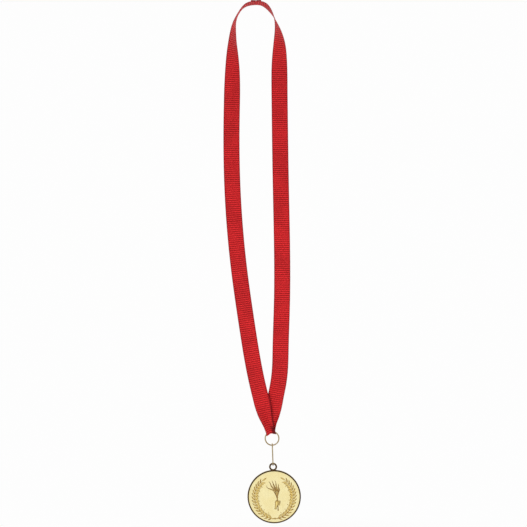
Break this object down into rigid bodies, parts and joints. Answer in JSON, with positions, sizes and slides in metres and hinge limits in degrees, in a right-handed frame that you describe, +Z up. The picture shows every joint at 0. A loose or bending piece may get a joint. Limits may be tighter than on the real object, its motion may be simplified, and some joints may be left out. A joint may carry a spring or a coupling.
{
  "type": "prize medal on a neck ribbon",
  "caption": "Round gilt prize medal with a laurel wreath and torch, hung by a link and a ring from the fold of a looped woven neck ribbon.",
  "frame": {"origin": "the middle of the nape, where the underside of the ribbon loop hangs on whatever holds it up", "axes": "+Z up, the medal's face towards -Y, +X to the right of someone who faces the medal"},
  "size_m": [0.0631, 0.015, 0.4897],
  "materials": {
    "ribbon_weave": "ribbed grosgrain weave with a tight selvedge, slight sheen",
    "sewing_thread": "twisted polyester thread",
    "gilt_wire": "bright pale gilt wire",
    "gilt_medal": "bright gilt with a fine matt field, darker in the recesses"
  },
  "bodies": {
    "ribbon": {"ribbon": "ribbon_weave", "seam_thread_left": "sewing_thread", "seam_thread_right": "sewing_thread"},
    "ring": {"ribbon_ring": "gilt_wire"},
    "link": {"medal_link": "gilt_wire"},
    "medal": {"medal": "gilt_medal"}
  },
  "joints": [
    {"name": "ring_swing", "type": "hinge", "parent": "ribbon", "child": "ring", "pos_m": [-0.00111, 0, -0.4012], "axis": [1, 0, 0], "range_deg": [-30, 30]},
    {"name": "link_swing", "type": "hinge", "parent": "ring", "child": "link", "pos_m": [0, 0, -0.4139], "axis": [1, 0, 0], "range_deg": [-90, 90]},
    {"name": "medal_swing", "type": "hinge", "parent": "link", "child": "medal", "pos_m": [0, 0, -0.43275], "axis": [0, 1, 0], "range_deg": [-90, 90]}
  ]
}
